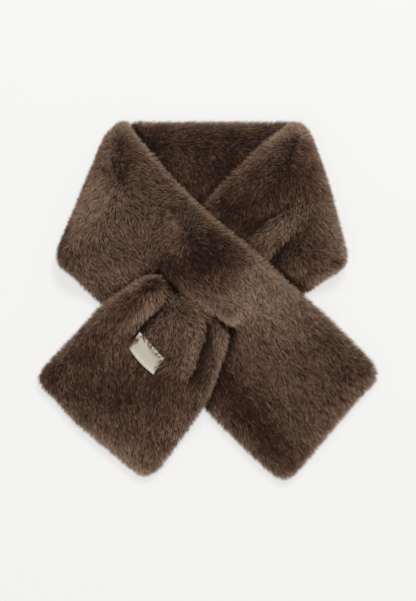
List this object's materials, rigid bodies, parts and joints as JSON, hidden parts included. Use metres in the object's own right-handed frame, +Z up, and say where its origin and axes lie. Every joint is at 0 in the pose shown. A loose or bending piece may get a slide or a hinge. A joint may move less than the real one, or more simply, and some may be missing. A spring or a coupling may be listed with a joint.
{
  "type": "fur collar wrap",
  "caption": "Plush pull-through collar wrap laid flat: neck stretch folded at both ends, one end pulled up through a slit in the other, with a bare woven label.",
  "frame": {"origin": "middle of the footprint's bounding box, on the surface that the wrap lies on", "axes": "+Z up off the surface, +Y from the crossing ends towards the neck stretch, +X to the right seen from above"},
  "size_m": [0.353, 0.379, 0.0615],
  "materials": {
    "plush_pile": "short dense fur pile, dark warm brown, lighter at its tips",
    "plush_backing": "knitted backing, near black brown",
    "label_weave": "ivory woven satin tape, bare",
    "label_thread": "ivory sewing thread"
  },
  "bodies": {
    "root": {"neck_band": "plush_pile", "front_strap": "plush_pile", "under_strap": "plush_pile", "pulled_end": "plush_pile", "label": "label_weave"}
  },
  "joints": []
}
